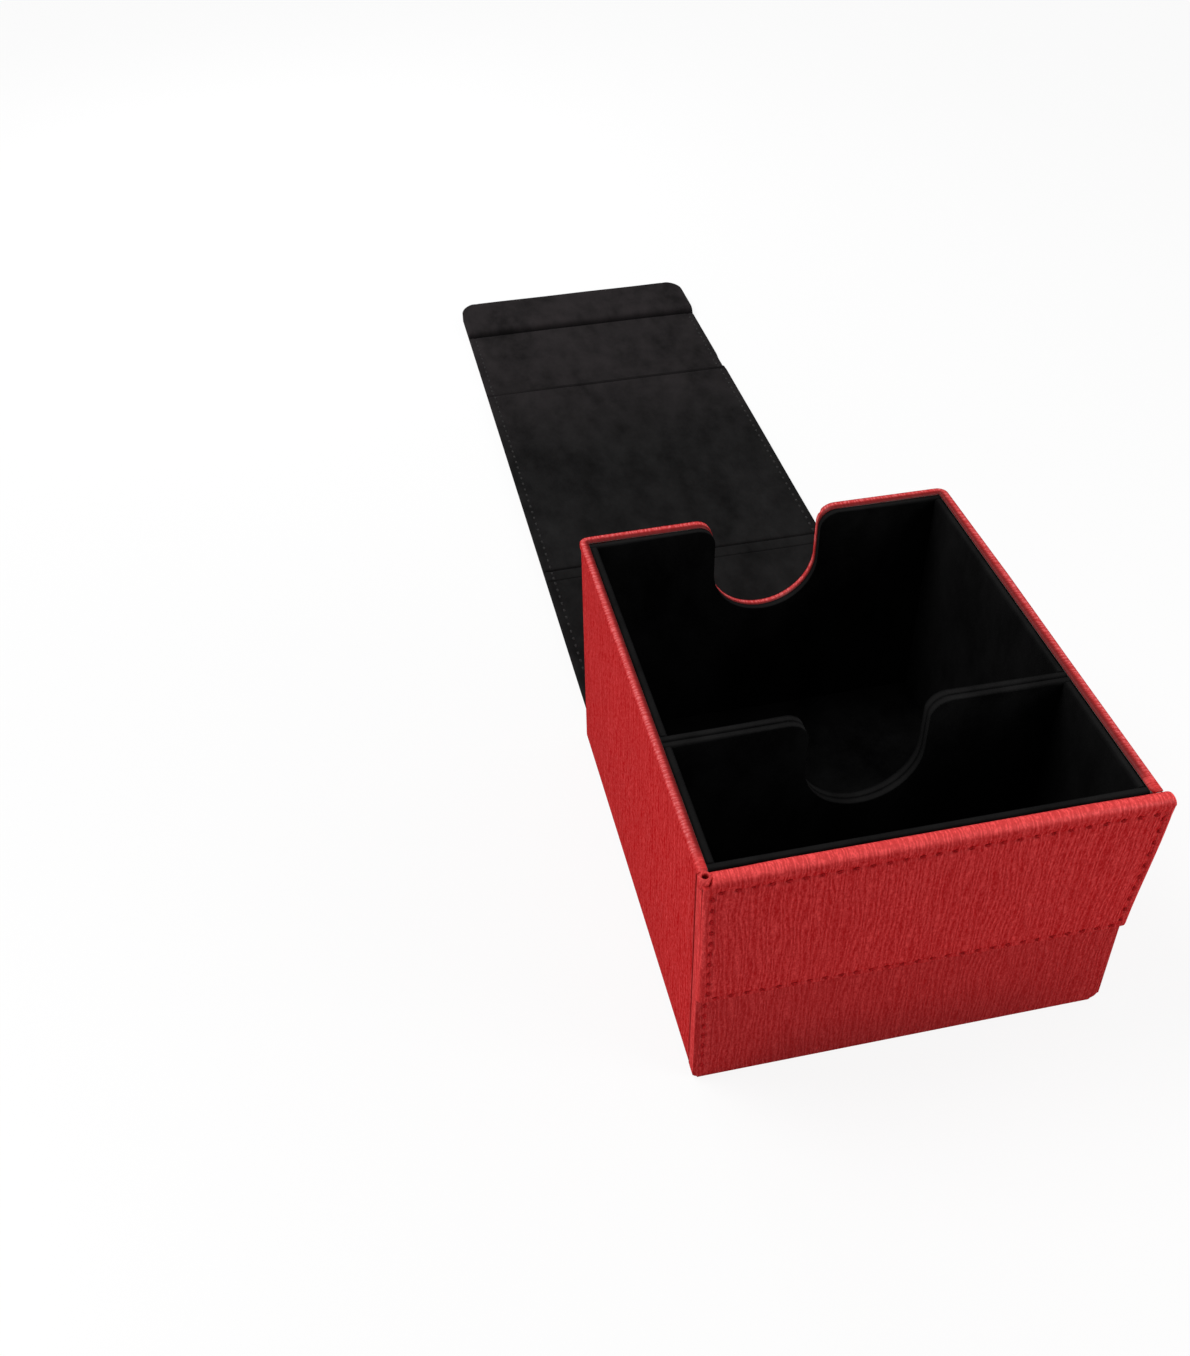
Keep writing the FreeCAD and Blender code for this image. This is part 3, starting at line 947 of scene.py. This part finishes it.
def cover_columns(round_edge):
    """Places across the cover as shares of its flat half width, close together at the seams."""
    seam = HALF_COVER - bpy.context.scene.cover_sizes.edge_seam
    flat = HALF_COVER - round_edge
    near = [seam + a * MM for a in (-1.2, -0.7, -0.35, 0.0, 0.35, 0.7, 1.2)]
    fine = [side * x for side in (-1, 1) for x in near]
    return np.array(stations(-flat, flat, 6.0 * MM, fine)) / flat


def cover_rows(start, end):
    """Places along the cover between two ends, close together at folds, steps and the rounded end."""
    corner = bpy.context.scene.cover_sizes.end_corner
    bend = [FLAP_END - corner * (1 - math.sin(a)) for a in np.linspace(0.0, math.pi / 2, 9)]
    old = [OLD_CREASE + a * MM for a in range(-5, 6)]
    step = min(5.0 * MM, (end - start) / 8)
    return stations(start, end, step, [*lining_levels()[:, 0], *bend, *old])


def quarter_turn(edge, steps):
    """Steps of a rounded edge: how far each goes out, and how far it turns away from the flat."""
    return [(edge * math.sin(a), edge * (1 - math.cos(a))) for a in np.linspace(0.0, math.pi / 2, steps)]


def sheet_rows(start, end, stop, turn, last):
    """Places along a sheet of the cover and how far it turns away there. Only the flap's end turns."""
    rows = cover_rows(start, end)
    if end < FLAP_END:
        return [(y, 0.0) for y in rows]
    tip = stop - turn[-1][0]
    return [(y, 0.0) for y in rows if y < tip] + [(tip + out, away) for out, away in turn] + [(stop, last)]


def with_edges(flat, right):
    """Row of points with its right edge repeated on the left."""
    return [(-x, z) for x, z in reversed(right)] + flat + right


def lining_piece(name, start, end):
    """Lining from one place along the cover to another, turned down over the edge boards."""
    levels = lining_levels()
    edge, low = bpy.context.scene.cover_sizes.lining_round, 0.35 * MM
    turn = quarter_turn(edge, 5)
    shares = cover_columns(edge)
    bm = bmesh.new()
    rows, pressed, brushed = [], [], []
    for y, drop in sheet_rows(start, end, FLAP_END, turn, STRIP_TOP):
        flat = cover_width(y) - edge
        heights = lining_height(shares * (HALF_COVER - edge), y, levels) - drop
        right = [(flat + out, heights[-1] - away) for out, away in turn[1:]] + [(flat + edge, low)]
        points = with_edges(list(zip(shares * flat, heights)), right)
        rows.append([bm.verts.new((x, y, max(z, low))) for x, z in points])
        # Pressed pile and painted shade in the creases
        pressed.extend(lining_pressed_shade(np.array([x for x, _ in points]), y))
        brushed += [lining_brushed(y)] * len(points)
    sheet_faces(bm, rows)
    bmesh.ops.recalc_face_normals(bm, faces=bm.faces)
    piece = new_piece(name, bm, "charcoal_suede", None, {"pressed": pressed, "brushed": brushed})
    piece.data.set_sharp_from_angle(angle=math.radians(60))
    return piece


def skin_piece(name, start, end):
    """Leather under the cover from one place along it to another, with soft edges and seam grooves."""
    sizes = bpy.context.scene.cover_sizes
    inset, edge, thick = sizes.skin_inset, sizes.skin_round, 0.8 * MM
    turn = quarter_turn(edge, 4)
    shares = cover_columns(edge + inset)
    across = abs(shares) * (HALF_COVER - edge - inset)
    seam, end_seam = HALF_COVER - sizes.edge_seam, FLAP_END - sizes.edge_seam
    bm = bmesh.new()
    rows, grain = [], []
    for y, lift in sheet_rows(start, end, FLAP_END - inset, turn, thick):
        half = cover_width(min(y + inset, FLAP_END)) - inset
        flat = half - edge
        beside = abs(across - seam)
        if end >= FLAP_END:
            beside = np.minimum(beside, np.hypot(y - end_seam, np.maximum(across - seam, 0.0)))
        grooves = sizes.skin_groove * hump(beside, 0.5 * MM)
        right = [(flat + out, lift + away) for out, away in turn[1:]] + [(half, thick)]
        points = with_edges(list(zip(shares * flat, grooves + lift)), right)
        rows.append([bm.verts.new((x, y, min(z, thick))) for x, z in points])
        grain += [(x / MM, y / MM) for x, _ in points]
    sheet_faces(bm, rows)
    bmesh.ops.recalc_face_normals(bm, faces=bm.faces)
    if sum(f.normal.z * f.calc_area() for f in bm.faces) > 0:
        bmesh.ops.reverse_faces(bm, faces=bm.faces)
    piece = new_piece(name, bm, "streaked_leather", grain)
    piece.data.set_sharp_from_angle(angle=math.radians(60))
    return piece


PANELS = [
    ("back", BACK_START, BACK_END, "back_panel", ["back_lining"]),
    ("top", TOP_START, TOP_END, "top_panel", ["top_lining"]),
    ("front_fold_middle", MIDDLE_START, MIDDLE_END, "front_fold", ["front_fold_middle_lining"]),
    ("flap", FLAP_START, FLAP_END, "front_flap", ["flap_lining", "strip_lining"]),
]
FOLDS = [
    ("bottom_fold", REAR, BACK_START, "box", "back_panel"),
    ("top_fold", BACK_END, TOP_START, "back_panel", "top_panel"),
    ("front_fold_rear", TOP_END, MIDDLE_START, "top_panel", "front_fold"),
    ("front_fold_front", MIDDLE_END, FLAP_START, "front_fold", "front_flap"),
]


class CARDBOX_OT_panels(bpy.types.Operator):
    """Leather and lining of the stiff panels, the flap and its end strip"""

    bl_idname = "cardbox.panels"
    bl_label = "Cover panels"

    def execute(self, context):
        settle(skin_piece("bottom_leather", FRONT, REAR), "box", ["bottom_skin"])
        for name, start, end, body, linings in PANELS:
            settle(skin_piece(f"{name}_leather", start, end), body, [f"{name}_skin"])
            settle(lining_piece(f"{name}_suede", start, end), body, linings)
        return {"FINISHED"}


class CARDBOX_OT_folds(bpy.types.Operator):
    """Leather and lining of the folds between two panels"""

    bl_idname = "cardbox.folds"
    bl_label = "Cover folds"

    def execute(self, context):
        sheets = ((skin_piece, "leather", "skin", "red_leather"),
                  (lining_piece, "suede", "lining", "charcoal_lining"))
        for name, start, end, first, second in FOLDS:
            for make, finish_name, layer, slot in sheets:
                piece = make(f"{name}_{finish_name}", start, end)
                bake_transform(piece)
                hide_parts(f"{name}_{layer}")
        return {"FINISHED"}


def stitch(bm, middle, along, out):
    """One stitch: a thread that rises from one hole and dips into the next."""
    sizes = bpy.context.scene.thread_sizes
    half, radius = sizes.length / 2, sizes.radius
    across = out.cross(along).normalized()
    along = (along * math.cos(sizes.slant) + across * math.sin(sizes.slant)).normalized()
    across = out.cross(along).normalized()
    around = [across * math.cos(a) + out * math.sin(a) for a in (2 * math.pi * k / 8 for k in range(8))]
    rings = []
    for t in (-1.0, -0.9, -0.65, -0.3, 0.0, 0.3, 0.65, 0.9, 1.0):
        thick = radius * math.sqrt(max(0.05, 1 - t ** 6))
        centre = middle + along * (half * t) + out * (radius * (0.35 - 1.1 * t * t))
        rings.append([bm.verts.new(centre + way * thick) for way in around])
    tube_faces(bm, rings)
    bm.faces.new(rings[0][::-1])
    bm.faces.new(rings[-1])


def seam_places(low, high):
    """Middles of the stitches of one seam, spread evenly between its ends."""
    count = max(1, round((high - low) / bpy.context.scene.thread_sizes.pitch))
    return [low + (high - low) * (k + 0.5) / count for k in range(count)]


def seam_piece(name, stitches, material):
    """Mesh of many stitches, each given as a middle, a direction and an outward direction."""
    bm = bmesh.new()
    for middle, along, out in stitches:
        stitch(bm, Vector(middle), Vector(along), Vector(out))
    return new_piece(name, bm, material)


class CARDBOX_OT_front_seams(bpy.types.Operator):
    """Stitches round the pad and down the left side of the front wall"""

    bl_idname = "cardbox.front_seams"
    bl_label = "Front seams"

    def execute(self, context):
        def on_pad(x, z, along):
            place = x + pad_flare(x, z), BASE_FACE - pad_height(x, z), z - pad_lean(x, z)
            return place, along, FORWARD

        rows = [on_pad(x, z, RIGHT) for z in (PAD_SEAM_LOW, PAD_SEAM_HIGH)
                for x in seam_places(-PAD_SEAM_SIDE, PAD_SEAM_SIDE)]
        rows += [on_pad(x, z, UP) for x in (-PAD_SEAM_SIDE, PAD_SEAM_SIDE)
                 for z in seam_places(PAD_SEAM_LOW, PAD_SEAM_HIGH)]
        settle(seam_piece("pad_seams", rows, "red_thread"), "box", [])
        low = [((-PAD_SEAM_SIDE, BASE_FACE, z), UP, FORWARD)
               for z in seam_places(3.0 * MM, PAD_FOOT - 1.0 * MM)]
        settle(seam_piece("front_seams", low, "red_thread"), "box", [])
        return {"FINISHED"}


def under_stitch(x, y, along):
    """Stitch on the leather under the cover, sunk in its groove."""
    return (x, y, 1.36 * bpy.context.scene.thread_sizes.radius), along, DOWN


def cover_stitches(start, end):
    """Stitches of both long edges between two places: those of the lining and those of the leather."""
    seam = HALF_COVER - bpy.context.scene.cover_sizes.edge_seam
    sunk = 0.2 * bpy.context.scene.thread_sizes.radius
    levels = lining_levels()
    places = [(side * seam, y) for side in (-1, 1) for y in seam_places(start, end)]
    above = [((x, y, lining_height(x, y, levels) - sunk), REARWARD, UP) for x, y in places]
    return above, [under_stitch(x, y, REARWARD) for x, y in places]


def flap_stitches():
    """Stitches of the flap: those of the lining stop at its end strip, those of the leather cross its end."""
    sizes = bpy.context.scene.cover_sizes
    half = HALF_COVER - sizes.end_corner
    above, _ = cover_stitches(FLAP_START, STRIP_START - 1.5 * MM)
    _, below = cover_stitches(FLAP_START, FLAP_END - sizes.end_corner)
    below += [under_stitch(x, FLAP_END - sizes.edge_seam, RIGHT) for x in seam_places(-half, half)]
    return above, below


class CARDBOX_OT_cover_seams(bpy.types.Operator):
    """Stitches along the edges of the cover, on the lining and on the leather"""

    bl_idname = "cardbox.cover_seams"
    bl_label = "Cover seams"

    def execute(self, context):
        for name, start, end, body, _ in PANELS:
            above, below = flap_stitches() if name == "flap" else cover_stitches(start, end)
            settle(seam_piece(f"{name}_lining_seams", above, "dark_thread"), body, [])
            settle(seam_piece(f"{name}_leather_seams", below, "red_thread"), body, [])
        for name, start, end, first, second in FOLDS[1:]:
            above, below = cover_stitches(start, end)
            for layer, rows, thread in (("lining", above, "dark_thread"), ("leather", below, "red_thread")):
                piece = seam_piece(f"{name}_{layer}_seams", rows, thread)
                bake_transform(piece)
                "charcoal_lining" if layer == "lining" else "red_leather"
        return {"FINISHED"}


def board_piece(name, body, node, outline, depth, place):
    """Grey board with slightly broken edges, in place of a CAD board."""
    bm = plate(outline, [0.12 * MM] * len(outline), depth, segments=2)
    place_plate(bm, place)
    piece = new_piece(name, bm, "grey_board")
    even_shading(piece)
    settle(piece, body, [node])


def cover_board(node, body):
    """Stiff board inside the cover, cut back from the edges that the lining turns over."""
    low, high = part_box(node)
    side, end, gap = 1.2 * MM, 0.9 * MM, 0.15 * MM
    front, corner = end, 1.0 * MM
    if node == "strip_core":
        front, corner = 3.8 * MM, bpy.context.scene.cover_sizes.end_corner
    x, start, stop = high.x - side, low.y + front, high.y - end
    right = arc_points((x - corner, stop - corner), corner, 0.0, math.pi / 2)
    left = arc_points((corner - x, stop - corner), corner, math.pi / 2, math.pi)
    board_piece(f"{node}_board", body, node, [(-x, start), (x, start)] + right + left, high.z - low.z - gap,
                lambda a, b, depth: (a, b, low.z + depth))


def front_board():
    """Board of the front wall, cut back from the edges that the leather turns over."""
    low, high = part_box("front_wall_board")
    corner, edge, gap = bpy.context.scene.box_sizes.base_corner, 0.8 * MM, 0.1 * MM
    outline = front_outline(high.x - edge, low.z + edge, high.z - 0.2 * MM, corner, corner)
    board_piece("front_wall_inner_board", "box", "front_wall_board", outline, high.y - low.y - gap,
                lambda a, z, depth: (a, low.y + gap + depth, z))


class CARDBOX_OT_boards(bpy.types.Operator):
    """Boards and magnets inside the walls and the cover"""

    bl_idname = "cardbox.boards"
    bl_label = "Boards and magnets"

    def execute(self, context):
        for node, body in (("back_core", "back_panel"), ("top_core", "top_panel"),
                           ("flap_core", "front_flap"), ("strip_core", "front_flap")):
            cover_board(node, body)
        front_board()
        for name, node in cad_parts.items():
            if name.endswith("_magnets"):
                dress(node, "plated_steel")
            elif name.endswith(("_board", "_core")):
                dress(node, "grey_board")
        return {"FINISHED"}


BOX_MIDDLE = (0.0, 0.02, 0.04)

# Name, place, the point the lamp is aimed at, diameter in metres and power in watts
LAMPS = [
    ("window", (-0.65, 0.35, 1.15), BOX_MIDDLE, 0.75, 10.4),
    ("left_fill", (-0.36, -0.12, 0.06), (-0.054, -0.05, 0.02), 0.15, 0.28),
    ("far_window", (-0.15, 0.56, 0.32), (0.0, 0.32, 0.0), 0.25, 0.9),
    ("front_fill", (0.25, -1.25, 0.75), BOX_MIDDLE, 1.1, 0.25),
    ("corner_fill", (0.38, -0.32, 0.27), (0.05, -0.06, 0.04), 0.3, 1.25),
    ("right_fill", (1.2, 0.3, 0.8), BOX_MIDDLE, 1.0, 2.0),
]


def area_light(name, place, target, size, power):
    """Soft lamp aimed at a point."""
    lamp = bpy.data.lights.new(name, "AREA")
    lamp.shape = "DISK"
    lamp.size = size
    lamp.energy = power
    holder = bpy.data.objects.new(name, lamp)
    holder.location = place
    holder.rotation_mode = "QUATERNION"
    holder.rotation_quaternion = (Vector(target) - Vector(place)).to_track_quat("-Z", "Y")
    bpy.context.scene.collection.objects.link(holder)


def floor_piece():
    """Wide floor just under the box."""
    reach, drop = 6.0, 0.02 * MM
    corners = [(x * reach, y * reach, -drop) for x, y in ((-1, -1), (1, -1), (1, 1), (-1, 1))]
    mesh = bpy.data.meshes.new("floor")
    mesh.from_pydata(corners, [], [(0, 1, 2, 3)])
    mesh.materials.append(finish("pale_floor"))
    floor = bpy.data.objects.new("floor", mesh)
    bpy.context.scene.collection.objects.link(floor)


def studio_world():
    """Even light from all round, and a white backdrop for the camera."""
    world = bpy.data.worlds.new("studio")
    bpy.context.scene.world = world
    f = Finish(world)
    ambient = f.node("Background", {}, {"Color": WHITE, "Strength": 0.30})
    white = f.node("Background", {}, {"Color": WHITE, "Strength": 1.0})
    both = f.node("MixShader", {}, {0: backdrop_share(f), 1: ambient, 2: white})
    f.node("OutputWorld", {}, {"Surface": both})


def photo_camera():
    """Camera that sees the box as the photograph does."""
    sizes = bpy.context.scene.camera_sizes
    data = bpy.data.cameras.new("photo_view")
    data.sensor_width = 36.0
    data.lens = sizes.focal_share * data.sensor_width
    data.clip_start, data.clip_end = 0.01, 50.0
    camera = bpy.data.objects.new("photo_view", data)
    bpy.context.scene.collection.objects.link(camera)
    yaw, pitch, roll = sizes.yaw, sizes.pitch, sizes.roll
    ahead = Vector((math.sin(yaw) * math.cos(pitch), math.cos(yaw) * math.cos(pitch), -math.sin(pitch)))
    level = Vector((math.cos(yaw), -math.sin(yaw), 0.0))
    upward = level.cross(ahead)
    right = level * math.cos(roll) + upward * math.sin(roll)
    up = upward * math.cos(roll) - level * math.sin(roll)
    turn = Matrix((right, up, -ahead)).transposed().to_4x4()
    camera.matrix_world = Matrix.Translation(Vector(sizes.eye)) @ turn
    bpy.context.scene.camera = camera


class CARDBOX_OT_stage(bpy.types.Operator):
    """Floor, soft light and the camera"""

    bl_idname = "cardbox.stage"
    bl_label = "Stage"

    def execute(self, context):
        floor_piece()
        studio_world()
        for lamp in LAMPS:
            area_light(*lamp)
        photo_camera()
        context.scene.view_settings.view_transform = "Standard"
        return {"FINISHED"}


STEPS = [CARDBOX_OT_walls, CARDBOX_OT_front, CARDBOX_OT_trays, CARDBOX_OT_panels, CARDBOX_OT_folds,
         CARDBOX_OT_front_seams, CARDBOX_OT_cover_seams, CARDBOX_OT_boards, CARDBOX_OT_stage]
GROUPS = {"box_sizes": BoxSizes, "cover_sizes": CoverSizes, "thread_sizes": ThreadSizes, "finishes": Finishes,
          "camera_sizes": CameraSizes}


class CARDBOX_PT_panel(bpy.types.Panel):
    """Sizes and steps of the card box"""

    bl_idname = "CARDBOX_PT_panel"
    bl_label = "Card box"
    bl_space_type = "VIEW_3D"
    bl_region_type = "UI"
    bl_category = "Card box"

    def draw(self, context):
        for attribute, group in GROUPS.items():
            box = self.layout.box()
            box.label(text=group.__doc__)
            for name in group.__annotations__:
                box.prop(getattr(context.scene, attribute), name)
        for step in STEPS:
            self.layout.operator(step.bl_idname)


CLASSES = [*GROUPS.values(), *STEPS, CARDBOX_PT_panel]


def register():
    """Adds the classes and hangs the settings on the scene."""
    for cls in CLASSES:
        bpy.utils.register_class(cls)
    for attribute, group in GROUPS.items():
        setattr(bpy.types.Scene, attribute, bpy.props.PointerProperty(type=group))


def unregister():
    """Takes the settings and the classes away."""
    for attribute in GROUPS:
        delattr(bpy.types.Scene, attribute)
    for cls in reversed(CLASSES):
        bpy.utils.unregister_class(cls)


def main():
    """Registers the classes and builds every piece in order."""
    register()
    for step in STEPS:
        group, name = step.bl_idname.split(".")
        getattr(getattr(bpy.ops, group), name)()


if __name__ == "__main__":
    main()
